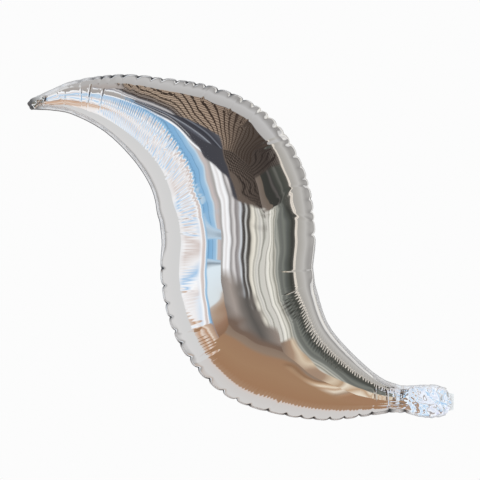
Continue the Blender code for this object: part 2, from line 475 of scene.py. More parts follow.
def addCombs(height, rows, points, distances, facing):
    # the fine wrinkles beside both seams, across the tail
    chance = np.random.default_rng(combs["seed"] + facing)
    share = np.cos(columnAngles(points.shape[1]))
    for side, distance in zip((-1, 1), distances):
        column = int(np.argmin(np.abs(share - side * combs["measuredAt"])))
        lineRun = runAlong(points[:, column])
        place = np.interp(combs["from"], rows["run"], lineRun)
        tables = [combs[key] for key in ("spacing", "outerEnd", "innerEnd", "strength")]
        while place < lineRun[-1] - combs["endBefore"]:
            run = np.interp(place, lineRun, rows["run"])
            spacing, outer, end, strength = readTables(run, tables, side)
            place += spacing * chance.uniform(*combs["unevenSpacing"])
            ridge = combs["ridge"] * spacing * chance.uniform(*combs["unevenRidge"])
            tall = chance.uniform(*combs["height"]) * spacing * strength
            end += chance.uniform(-1, 1) * combs["unevenEnd"]
            slant = chance.normal(0, combs["slant"])
            first, last = np.searchsorted(lineRun, (place - 5 * ridge, place + 5 * ridge))
            offset = slant * (distance[first:last] - combs["slantFrom"])
            t = (lineRun[first:last, None] - place - offset) / ridge
            rise = np.clip((outer - side * share) / combs["rise"] + 0.5, 0, 1)
            fall = np.clip((side * share - end + combs["fall"] / 2) / combs["fall"], 0, 1)
            shape = rise * rise * (3 - 2 * rise) * fall * fall * (3 - 2 * fall)
            height[first:last] += tall * hat(t) * shape


def addCrease(height, rows, share, crease, facing):
    # a straight fold between two places: a ridge, and the film kinked on both sides of it
    startRun, startShare, endRun, endShare, ridge, tall, kink = crease
    if facing > 0:
        startRun, endRun = startRun - creaseRule["backShift"], endRun - creaseRule["backShift"]
        tall, kink = tall * creaseRule["backShare"], kink * creaseRule["backShare"]
    reach = creaseRule["farthest"] * creaseRule["kinkReach"]
    limits = min(startRun, endRun) - reach, max(startRun, endRun) + reach
    first, last = np.searchsorted(rows["run"], limits)
    run = rows["run"][first:last, None]
    across = share[None, :] * rows["width"][first:last, None]
    startAcross = startShare * np.interp(startRun, rows["run"], rows["width"])
    endAcross = endShare * np.interp(endRun, rows["run"], rows["width"])
    long = math.hypot(endRun - startRun, endAcross - startAcross)
    alongRun, alongAcross = (endRun - startRun) / long, (endAcross - startAcross) / long
    onward = (run - startRun) * alongRun + (across - startAcross) * alongAcross
    aside = (across - startAcross) * alongRun - (run - startRun) * alongAcross
    ends = np.clip((onward + creaseRule["early"]) / creaseRule["rise"], 0, 1)
    ends = ends * np.clip((long - onward) / (creaseRule["taper"] * long), 0, 1)
    bend = kink * (np.sqrt(aside**2 + creaseRule["round"]) - creaseRule["kinkReach"] / 2)
    bend *= np.exp(-((aside / creaseRule["kinkReach"]) ** 2))
    height[first:last] += (tall * hat(aside / ridge) - bend) * ends


def addWaves(height, points, held, facing):
    # broad uneven waves all over the film
    chance = np.random.default_rng(waves["seed"] + facing)
    for size, tall in zip(waves["sizes"], waves["heights"]):
        for k in range(waves["count"]):
            turn, start = chance.uniform(0, math.pi), chance.uniform(0, 2 * math.pi)
            travel = points[:, :, 0] * math.cos(turn) + points[:, :, 2] * math.sin(turn)
            travel = travel + waves["wander"] * size * np.sin(points[:, :, 2] / size + k)
            height += tall / waves["count"] * np.sin(2 * math.pi * travel / size + start) * held


def filmDetail(rows, points, facing):
    # height over the film for puckers, combs, creases and waves, in mm
    height = np.zeros(points.shape[:2])
    share = np.cos(columnAngles(points.shape[1]))
    distances = seamDistances(points)
    held = np.clip(np.minimum(*distances) / film["held"], 0, 1)
    held = held * held * (3 - 2 * held)
    for side, distance in zip((-1, 1), distances):
        addValleys(height, seamRuns[side], distance, pleats[side])
    addCombs(height, rows, points, distances, facing)
    for crease in creases:
        addCrease(height, rows, share, crease, facing)
    addWaves(height, points, held, facing)
    return height * held


def gathered(angles, facing):
    # folds of the film where the neck is drawn together, the same on both sides of the waist
    chance = np.random.default_rng(gather["seed"] + facing)
    height = np.zeros(len(angles))
    for k in range(gather["count"]):
        place = math.pi * (k + chance.uniform(*gather["uneven"])) / gather["count"]
        height += chance.uniform(-1, 1) * gather["height"] * hat((angles - place) / gather["halfAngle"])
    return height * np.clip(np.sin(angles) * gather["seamHold"], 0, 1)


def seamShift(seamRun, pleats):
    # how far a seam is drawn in, and pushed to the front or back, and how near a pleat is, at each row
    drawn, leaned, near = np.zeros((3, len(seamRun)))
    for place, pull, halfWidth, valley, reach, lean in pleats:
        t = (seamRun - place) / halfWidth
        drawn += pull * peak(t, puckers["form"]["drawn"])
        leaned += lean * np.exp(-(t**2) / 3)
        whole = min(1, pull / puckers["nearPull"])
        near = np.maximum(near, whole * peak(t / puckers["nearReach"], puckers["form"]["near"]))
    return drawn, leaned, near


def makeGrid(name, points, facing):
    # a film from a grid of points in mm, on a grid primitive, its faces turned outwards
    deselectAll()
    rows, columns = points.shape[:2]
    bpy.ops.mesh.primitive_grid_add(x_subdivisions=columns - 1, y_subdivisions=rows - 1, size=1)
    grid = bpy.context.active_object
    grid.name = grid.data.name = name
    grid.data.vertices.foreach_set("co", (points.reshape(-1, 3) * mm).ravel())
    grid.data.update()
    middle = len(grid.data.polygons) // 2 + (columns - 1) // 2
    if grid.data.polygons[middle].normal.y * facing < 0:
        bpy.ops.object.mode_set(mode="EDIT")
        bpy.ops.mesh.select_all(action="SELECT")
        bpy.ops.mesh.flip_normals()
        bpy.ops.object.mode_set(mode="OBJECT")
    bpy.ops.object.shade_smooth()
    return grid


crumple = {"uneven": (0.6, 1.5), "lift": 0.4, "stretch": 3, "seamHold": 4}  # of the tip and of the neck


def crumpled(across, along, rule, chance):
    # facets: short bends along random lines, mm
    most = rule["halfWidth"]
    height = np.zeros(across.shape)
    for k in range(rule["folds"]):
        turn = chance.uniform(0, math.pi)
        x, z = chance.uniform(-most, most), chance.uniform(0, rule["length"])
        aside = (across - x) * math.cos(turn) + (along - z) * math.sin(turn)
        onward = (along - z) * math.cos(turn) - (across - x) * math.sin(turn)
        reach = rule["reach"] * chance.uniform(*crumple["uneven"])
        bend = np.sqrt(aside**2 + rule["sharpness"] ** 2) - crumple["lift"] * reach
        window = np.exp(-(aside**2 + onward**2 / crumple["stretch"]) / (2 * reach**2))
        height += chance.uniform(*rule["slope"]) * bend * window
    return height


# The two films: the smooth shape, the blown wrinkles, and the details on top
tip = {
    "seed": 8, "folds": 34, "reach": 4.0, "slope": (-1.0, 1.0), "sharpness": 0.4, "halfWidth": 9,
    "length": 22,
    "whole": 20,  # mm from the tip in which it is whole, and where it ends
    "end": 34,
}
tailRows = makeRows(outline["tail"], film["rows"], outline["tailTurn"])
angles = columnAngles(film["columns"])
smoothFilms = {facing: halfSection(tailRows, angles, facing) for facing in (-1, 1)}
wrinkles = {facing: np.zeros(smoothFilms[-1].shape) for facing in (-1, 1)}
tilts = {side: np.zeros(film["rows"]) for side in (-1, 1)}
coarseRows = makeRows(outline["tail"], blowing["rows"], outline["tailTurn"])
coarse, coarseTilts = blowUp(coarseRows, columnAngles(blowing["columns"]), blowing)
grown = np.clip(tailRows["run"] / blowing["tipReach"], 0, 1)[:, None, None] * blowing["kept"]
inside = blowing["keptInside"]
for facing in (-1, 1):
    eased = smoothed(coarse[facing], blowing["eased"])
    nearest = np.minimum(*seamDistances(smoothFilms[facing]))
    near = inside + (1 - inside) * np.exp(-((nearest / blowing["keptReach"]) ** 2))
    fine = finer(finer(eased, film["rows"], 0), film["columns"], 1)
    wrinkles[facing] = fine * grown * near[:, :, None]
tilts = {side: finer(coarseTilts[side], film["rows"], 0) for side in (-1, 1)}
print("films blown up by cloth simulation")

seamRuns = {side: runAlong(smoothFilms[-1][:, column]) for side, column in seamColumns.items()}
pleats = {side: placePuckers(tailRows, seamRuns[side], side) for side in (-1, 1)}
panels, seamLines, tailEnds = {}, {}, {}
for facing, name in ((-1, "film_front"), (1, "film_back")):
    points = smoothFilms[facing]
    height = filmDetail(tailRows, points, facing)
    ends = tailRows["run"] < 2 * tip["end"]
    across = tailRows["width"][ends, None] * np.cos(angles)
    along = np.broadcast_to(tailRows["run"][ends, None], across.shape)
    folds = crumpled(across, along, tip, np.random.default_rng(tip["seed"] + facing))
    folds *= np.clip((tip["end"] - along) / (tip["end"] - tip["whole"]), 0, 1)
    height[ends] += folds * np.clip(np.sin(angles) * crumple["seamHold"], 0, 1)
    toWaist = tailRows["run"][-1] - tailRows["run"]
    height += gathered(angles, facing) * np.exp(-toWaist / gather["reachTail"])[:, None]
    shaped = points + wrinkles[facing] + height[:, :, None] * outward(points, facing)
    for side, distance in zip((-1, 1), seamDistances(points)):
        drawn, leaned, near = seamShift(seamRuns[side], pleats[side])
        convex = smoothed(bendSide(tailRows, side, puckers["fullBend"]), puckers["eased"])
        tables = [puckers[key] for key in ("bulge", "leastBulge", "hollow")]
        most, least, hollow = readTables(tailRows["run"], tables, side)
        swell = most * (least + (1 - least) * convex) * (1 - hollow * near)
        swell *= np.clip(tailRows["width"] / puckers["bulgeWidth"], 0, 1)
        out = side * swell[:, None] * hump(distance, puckers["bulgeAt"])
        out -= side * drawn[:, None] * np.exp(-distance / puckers["drawnReach"])
        shaped[:, :, [0, 2]] += out[:, :, None] * tailRows["up"][:, None, :]
        shaped[:, :, 1] += leaned[:, None] * np.exp(-distance / puckers["leanReach"])
    if facing < 0:
        seamLines = {side: shaped[:, column].copy() for side, column in seamColumns.items()}
    for side, column in seamColumns.items():
        shaped[:, column] = seamLines[side]
    tailEnds[facing] = shaped[-1].copy()
    panels[facing] = makeGrid(name, shaped, facing)
    print(name, "made,", len(panels[facing].data.polygons) * 2, "triangles")

# The neck: the films run on past the waist and are crumpled there
neck = {
    "rows": 100,
    "seed": 21,
    "folds": 190,
    "halfWidth": 22,
    "length": 88,
    "reach": 3.9,
    "slope": (-0.50, 0.50),
    "sharpness": 0.35,
    "crumpledFrom": 14,  # mm from the waist in which the crumple grows
    "swing": 12,  # mm in which it turns out of the tail's direction
    "seamWave": 1.6,
    "seamWaves": 5,
    "waveSize": (11, 34),
    "waveHeight": (0.4, 1),
    "waveFrom": 20,
    "seamReach": 0.25,  # share of its half width that follows the wave of the seam
    "bulge": 4.0,  # how far its crumpled film hangs out over the seam
    "bulgeAt": 4.0,
    "bulgeFrom": 25,
    "mouth": 8.0,  # how far its corners are rounded back, and how late along it that comes
    "mouthForm": 4,
}
neckRows = makeRows(outline["neck"], neck["rows"], outline["neckTurn"])
swing = np.exp(-neckRows["run"] / neck["swing"])[:, None]
for key in ("along", "up"):
    neckRows[key] = neckRows[key] * (1 - swing) + tailRows[key][-1] * swing
    neckRows[key] /= np.linalg.norm(neckRows[key], axis=1)[:, None]
neckFilms, neckSeams = {}, {}
for facing, name in ((-1, "neck_film_front"), (1, "neck_film_back")):
    points = halfSection(neckRows, angles, facing)
    late = (neckRows["run"][:, None] / neckRows["run"][-1]) ** neck["mouthForm"]
    back = neck["mouth"] * np.cos(angles) ** 2 * late
    points[:, :, [0, 2]] -= back[:, :, None] * neckRows["along"][:, None, :]
    across = neckRows["width"][:, None] * np.cos(angles)
    along = np.broadcast_to(neckRows["run"][:, None], across.shape)
    chance = np.random.default_rng(neck["seed"] + facing)
    height = crumpled(across, along, neck, chance) * np.clip(along / neck["crumpledFrom"], 0, 1)
    height *= np.clip(np.sin(angles) * crumple["seamHold"], 0, 1)
    height += gathered(angles, facing) * np.exp(-along / gather["reachNeck"])
    shaped = points + height[:, :, None] * outward(points, facing)
    for side, distance in zip((-1, 1), seamDistances(points)):
        out = side * neck["bulge"] * np.clip(along / neck["bulgeFrom"], 0, 1)
        out = out * hump(distance, neck["bulgeAt"])
        shaped[:, :, [0, 2]] += out[:, :, None] * neckRows["up"][:, None, :]
    if facing < 0:
        neckSeams = {side: shaped[:, column].copy() for side, column in seamColumns.items()}
        for side in (-1, 1):
            wave = np.zeros(neck["rows"])
            for k in range(neck["seamWaves"]):
                size = chance.uniform(*neck["waveSize"])
                tall = chance.uniform(*neck["waveHeight"])
                wave += tall * np.sin(2 * math.pi * neckRows["run"] / size + 2 * k)
            wave *= neck["seamWave"] / 2 * np.clip(neckRows["run"] / neck["waveFrom"], 0, 1)
            neckSeams[side][:, 1] += wave
    for side, column in seamColumns.items():
        fade = np.exp(-np.abs(np.cos(angles) - side) / neck["seamReach"])
        shaped[:, :, 1] += (neckSeams[side][:, 1] - points[:, column, 1])[:, None] * fade
        shaped[:, column] = neckSeams[side]
    shaped[0] = tailEnds[facing]
    neckFilms[facing] = makeGrid(name, shaped, facing)
print("neck films made")

# The sealed margin: both films welded flat outside the seam, round the tip and along the neck
margin = {
    "width": 7.0,
    "least": 2.0,
    "thickness": 0.3,
    "columns": 9,
    "inset": 0.4,  # mm that it reaches in under the films
    "seed": 31,
    # waves of its edge: how many, their sizes and height in mm, and how far they widen and narrow it
    "ripple": {"count": 6, "size": (14, 60), "height": 0.25 / 2.4, "widening": 0},
    "crumple": {"count": 9, "size": (9, 30), "height": 0.5, "widening": 0.12},  # at the tip and the neck
    "crinkle": {"count": 12, "size": (2.6, 6.0), "height": 0.005, "widening": 0},  # where it isn't convex
    "lag": 7,  # rows between the tilt and the width of one wave
    "curl": 0.2,  # how far its middle stands forward of its edges
    "curlForm": 1.3,
    "edgeCurl": 0.45,  # how far its cut edge turns back, and the share of the width where that starts
    "edgeFrom": 0.875,
    "blownShare": 0.15,  # how much of the simulated flutter it keeps
    "blownEased": 5,
    "neckFrom": 25,  # mm before the waist from which it is crumpled, and in which that grows
    "neckReach": 30,
    "tipReach": 14.0,
    "tipPoints": 40,
    "tipTilt": (1.8, 19),  # height in mm and rate of the wave round the tip, and of its width
    "tipWave": (0.8, 13),
    # share of painted shade on the margin round the tip
    "tipPaintedShade": 0.9,
    # painted shade on the cut edge, standing in for the dark that it mirrors as it turns back, by the run
    # from the tip in mm, and how steeply that comes towards the edge
    "paintedEdgeStrength": {
        -1: ((0, 1), (330, 1), (420, 0.4), (940, 0.4)),
        1: ((0, 0.6), (150, 0.4), (940, 0.4)),
    },
    "edgeSteep": (7, 5.2),
}


def marginSide(side):
    # inner line, outward direction, tilt, width and two shares of painted shade along one side, tip to mouth
    line = np.concatenate([seamLines[side], neckSeams[side][1:]])
    out = side * np.concatenate([tailRows["up"], neckRows["up"][1:]])
    flutter = smoothed(tilts[side], margin["blownEased"]) * margin["blownShare"]
    tilt = np.concatenate([flutter, np.linspace(flutter[-1], 0, neck["rows"] - 1)])
    run = np.concatenate([seamRuns[side], seamRuns[side][-1] + runAlong(neckSeams[side])[1:]])
    wide = np.full(len(run), margin["width"])
    nearNeck = np.clip((run - seamRuns[side][-1] + margin["neckFrom"]) / margin["neckReach"], 0, 1)
    nearTip = np.exp(-run / margin["tipReach"])
    convex = np.concatenate([bendSide(tailRows, side, puckers["fullBend"]), np.zeros(neck["rows"] - 1)])
    where = {"ripple": 1, "crumple": np.maximum(nearTip, nearNeck), "crinkle": 1 - convex}
    chance = np.random.default_rng(margin["seed"] + side)
    for key, share in where.items():
        rule = margin[key]
        for k in range(rule["count"]):
            size = chance.uniform(*rule["size"])
            wave = np.sin(2 * math.pi * run / size + chance.uniform(0, 6))
            tilt += share * rule["height"] * wave
            wide += share * rule["widening"] * np.roll(wave, margin["lag"])
    # painted shade on the margin's colour: round the tip, and beside each pleat, stronger where it pulls
    # harder
    paintedShade, form = margin["tipPaintedShade"] * nearTip, puckers["form"]
    for place, pull, halfWidth, valley, reach, lean in pleats[side]:
        t = (run - place) / halfWidth
        dark = min(1, pull / puckers["darkPull"]) * peak(t / puckers["darkReach"][side], form["dark"])
        paintedShade = np.maximum(paintedShade, dark)
        tilt += puckers["tilt"] * lean * t * peak(t, form["tilt"])
        wide -= puckers["notch"][side] * pull * peak(t / puckers["notchReach"], form["notch"])
    # painted shade towards the turned-back cut edge, by the run
    paintedEdgeStrength = np.interp(run, *zip(*margin["paintedEdgeStrength"][side]))
    return line, out, tilt, np.maximum(wide, margin["least"]), paintedShade, paintedEdgeStrength


def marginTip(lower, upper):
    # the same round the tip, from the lower side to the upper one
    shares = np.linspace(0, 1, margin["tipPoints"])
    line = lower[0][0] * (1 - shares[:, None]) + upper[0][0] * shares[:, None]
    turns = math.pi * shares[:, None]
    out = -tailRows["along"][0] * np.sin(turns) + upper[1][0] * -np.cos(turns)
    tilt, wide = (np.interp(shares, (0, 1), (lower[k][0], upper[k][0])) for k in (2, 3))
    tall, rate = margin["tipTilt"]
    tilt += tall * np.sin(shares * rate) * np.sin(math.pi * shares)
    tall, rate = margin["tipWave"]
    wide += tall * np.sin(shares * rate)
    # painted shade all round the tip, on the margin and at its edge
    paintedShade = np.full(margin["tipPoints"], margin["tipPaintedShade"])
    return line, out, tilt, wide, paintedShade, paintedShade


lowerSide, upperSide = marginSide(-1), marginSide(1)
line, out, tilt, wide, paintedShade, paintedEdgeStrength = (
    np.concatenate([lower[::-1], middle, upper])
    for lower, middle, upper in zip(lowerSide, marginTip(lowerSide, upperSide), upperSide)
)
shares = np.linspace(-margin["inset"] / margin["width"], 1, margin["columns"])
outwards = np.clip(shares, 0, 1)
strip = np.repeat(line[:, None, :], margin["columns"], axis=1)
strip[:, :, 0] += out[:, 0, None] * shares * wide[:, None]
strip[:, :, 2] += out[:, 1, None] * shares * wide[:, None]
strip[:, :, 1] += tilt[:, None] * outwards ** margin["curlForm"]
strip[:, :, 1] -= margin["curl"] * np.sin(math.pi * outwards)
turned = np.clip((outwards - margin["edgeFrom"]) / (1 - margin["edgeFrom"]), 0, 1)
strip[:, :, 1] += margin["edgeCurl"] * turned
weld = makeGrid("weld_margin", strip, -1)
# painted shade for the weld margin's colour towards its turned-back cut edge, standing in for the dark it
# mirrors
steep, start = margin["edgeSteep"]
paintedEdgeShare = paintedEdgeStrength[:, None] * np.clip(outwards * steep - start, 0, 1)
# the painted shade beside the pleats, round the tip and at the edge, kept on the mesh for the welded film's
# colour
weldShadeAttribute = weld.data.attributes.new("paintedShade", "FLOAT", "POINT")
weldShadeAttribute.data.foreach_set("value", np.maximum(paintedShade[:, None], paintedEdgeShare).ravel())
wall = weld.modifiers.new("wall", "SOLIDIFY")
wall.thickness = margin["thickness"] * mm
wall.offset = 0
bpy.ops.object.modifier_apply(modifier="wall")
print("weld margin made")

# The two clear films of the valve, loose in the mouth of the neck
valve = {
    "rows": 60, "columns": 22, "inset": 2.2, "start": 8.0, "shows": 5.0, "showsForm": 6,
    "apart": 0.5, "wave": 0.5, "waveSize": 3.1, "waveSlant": 9,
}
valveFilms = {}
for facing, name in ((-1, "valve_sheet_front"), (1, "valve_sheet_back")):
    share = np.linspace(valve["start"] / neckRows["run"][-1], 1, valve["rows"])
    here = readStations(outline["neck"], share)
    ahead = np.linspace(0, 1, valve["rows"]) ** valve["showsForm"] * valve["shows"]
    direction = np.array([neckRows["along"][int(s * (neck["rows"] - 1))] for s in share])
    up = np.stack([-direction[:, 1], direction[:, 0]], axis=1)
    middle = here[:, :2] + direction * ahead[:, None]
    across = np.linspace(-1, 1, valve["columns"]) * (here[:, 2, None] - valve["inset"])
    flat = middle[:, None, :] + across[:, :, None] * up[:, None, :]
    wave = np.sin(across / valve["waveSize"] + share[:, None] * valve["waveSlant"])
    y = facing * (valve["apart"] / 2 + valve["wave"] * (1 + wave) / 2)
    points = np.stack([flat[:, :, 0], y, flat[:, :, 1]], axis=2)
    valveFilms[facing] = makeGrid(name, points, facing)
print("valve films made")


def addNode(tree, kind, settings=None, links=None):
    # one node, with its settings or socket values, and its links
    node = tree.nodes.new("ShaderNode" + kind)
    for name, value in (settings or {}).items():
        if isinstance(name, int) or name in node.inputs:
            node.inputs[name].default_value = value
        else:
            setattr(node, name, value)
    for name, source in (links or {}).items():
        tree.links.new(source, node.inputs[name])
    return node


def fromHex(code):
    # an sRGB hex colour as linear RGBA
    parts = [int(code[k : k + 2], 16) / 255 for k in (1, 3, 5)]
    return [c / 12.92 if c <= 0.04045 else ((c + 0.055) / 1.055) ** 2.4 for c in parts] + [1.0]


def newMaterial(name, settings):
    made = bpy.data.materials.new(name)
    made.use_nodes = True
    shader = made.node_tree.nodes["Principled BSDF"]
    for key, value in settings.items():
        shader.inputs[key].default_value = value
    return made, made.node_tree, shader


def metallisedPolyester():
    # polyester film with an aluminium vapour coat: a bright mirror, hardly hazed, slightly uneven
    look = {"haze": (0.025, 0.07), "hazeSize": 0.05, "dimple": 0.003 * mm, "dimpleSize": 0.012}
    base = {"Base Color": fromHex("#E9EAEC"), "Metallic": 1.0}
    made, tree, shader = newMaterial("metallisedPolyester", base)
    place = addNode(tree, "TexCoord").outputs["Object"]
    cloud = addNode(tree, "TexNoise", {"Scale": 1 / look["hazeSize"], "Detail": 3}, {"Vector": place})
    least, most = look["haze"]
    ramp = {"From Min": 0.3, "From Max": 0.7, "To Min": least, "To Max": most}
    haze = addNode(tree, "MapRange", ramp, {"Value": cloud.outputs["Fac"]})
    tree.links.new(haze.outputs["Result"], shader.inputs["Roughness"])
    dimples = addNode(tree, "TexNoise", {"Scale": 1 / look["dimpleSize"], "Detail": 2}, {"Vector": place})
    depth = {"Strength": 1.0, "Distance": look["dimple"]}
    bump = addNode(tree, "Bump", depth, {"Height": dimples.outputs["Fac"]})
    tree.links.new(bump.outputs["Normal"], shader.inputs["Normal"])
    return made


def creasedPolyester():
    # the same film, creased hard where it isn't filled: the coat is crazed, so it is paler and milky
    look = {"craze": 0.02 * mm, "crazeSize": 0.0022, "crazedMetal": 0.86, "crazedFrom": (0.004, 0.022)}
    base = {"Base Color": fromHex("#EEF2F7"), "Roughness": 0.06}
    made, tree, shader = newMaterial("creasedPolyester", base)
    place = addNode(tree, "TexCoord").outputs["Object"]
    cells = {"feature": "DISTANCE_TO_EDGE", "Scale": 1 / look["crazeSize"] / 2}
    craze = addNode(tree, "TexVoronoi", cells, {"Vector": place})
    depth = {"Strength": 1.0, "Distance": look["craze"]}
    bump = addNode(tree, "Bump", depth, {"Height": craze.outputs["Distance"]})
    tree.links.new(bump.outputs["Normal"], shader.inputs["Normal"])
    split = addNode(tree, "SeparateXYZ", None, {"Vector": place})
    low, high = look["crazedFrom"]
    ramp = {"From Min": low, "From Max": high, "To Min": 1.0, "To Max": look["crazedMetal"]}
    crazed = addNode(tree, "MapRange", ramp, {"Value": split.outputs["X"]})
    tree.links.new(crazed.outputs["Result"], shader.inputs["Metallic"])
    return made


def weldedPolyester():
    # two films melted together under a patterned jaw: the mirror is pressed to a satin, its colour darkened
    # by painted shade in the pleats, at the turned-back edge and round the tip
    look = {"jawPitch": 1.2 * mm, "jawDepth": 0.05 * mm, "flat": "#EEEFF1", "paintedShade": "#3E3F43"}
    base = {"Metallic": 0.3, "Roughness": 0.2}
    made, tree, shader = newMaterial("weldedPolyester", base)
    # painted shade: the attribute's share mixes the film's colour towards a dark grey
    paintedShade = addNode(tree, "Attribute", {"attribute_name": "paintedShade"})
    tones = {"data_type": "RGBA", 6: fromHex(look["flat"]), 7: fromHex(look["paintedShade"])}
    tone = addNode(tree, "Mix", tones, {0: paintedShade.outputs["Fac"]})
    tree.links.new(tone.outputs[2], shader.inputs["Base Color"])
    place = addNode(tree, "TexCoord").outputs["Object"]
    lines = {"Scale": 1 / (look["jawPitch"] * 2 * math.pi), "Distortion": 0.6}
    jaw = [
        addNode(tree, "TexWave", {**lines, "bands_direction": way}, {"Vector": place}).outputs["Fac"]
        for way in ("X", "Z")
    ]
    both = addNode(tree, "Math", {"operation": "ADD"}, {0: jaw[0], 1: jaw[1]})
    depth = {"Strength": 0.12, "Distance": look["jawDepth"]}
    bump = addNode(tree, "Bump", depth, {"Height": both.outputs["Value"]})
    tree.links.new(bump.outputs["Normal"], shader.inputs["Normal"])
    return made


def clearPolyethylene():
    # thin clear polyethylene film: see-through, with a soft gloss and a faint milky cast
    look = {"crease": 0.2 * mm, "creaseSize": 0.00625}
    base = {"Base Color": fromHex("#E6EBEE"), "Roughness": 0.14, "IOR": 1.51, "Alpha": 0.45}
    made, tree, shader = newMaterial("clearPolyethylene", base)
    place = addNode(tree, "TexCoord").outputs["Object"]
    creases = addNode(tree, "TexNoise", {"Scale": 1 / look["creaseSize"], "Detail": 4}, {"Vector": place})
    depth = {"Strength": 0.5, "Distance": look["crease"]}
    bump = addNode(tree, "Bump", depth, {"Height": creases.outputs["Fac"]})
    tree.links.new(bump.outputs["Normal"], shader.inputs["Normal"])
    return made


mirrorFilm, neckFilm = metallisedPolyester(), creasedPolyester()
weldFilm, clearFilm = weldedPolyester(), clearPolyethylene()
dressing = (  # piece, material, slot, CAD node that it stands for
    (panels[-1], mirrorFilm, "mirror_foil", "front_panel"),
    (panels[1], mirrorFilm, "mirror_foil", "back_panel"),
    (weld, weldFilm, "welded_foil", "seam_margin"),
    (neckFilms[-1], neckFilm, "neck_foil", "neck_front_ply"),
    (neckFilms[1], neckFilm, "neck_foil", "neck_back_ply"),
    (valveFilms[-1], clearFilm, "valve_film", "valve_film_front"),
    (valveFilms[1], clearFilm, "valve_film", "valve_film_back"),
)
for piece, material, slot, node in dressing:
    piece.data.materials.clear()
    piece.data.materials.append(material)
    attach(piece, "root")
    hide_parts(node)

# The studio: a pale floor far below, a soft lamp, and cards round the part that only a mirror sees
studio = {"floor": -1.25, "floorSize": 9.0, "middle": -0.27, "corners": 96, "glow": 1.16}
lamp = {"place": (-0.9, -1.2, 2.6), "turn": (26, 0, -24), "size": 1.8, "power": 30}
besides = ((0, 1, 0), -0.03, -0.02)  # the pale half of each card, beside and behind the part
shade = ((0, 1, 0), 0.0, 1.2)
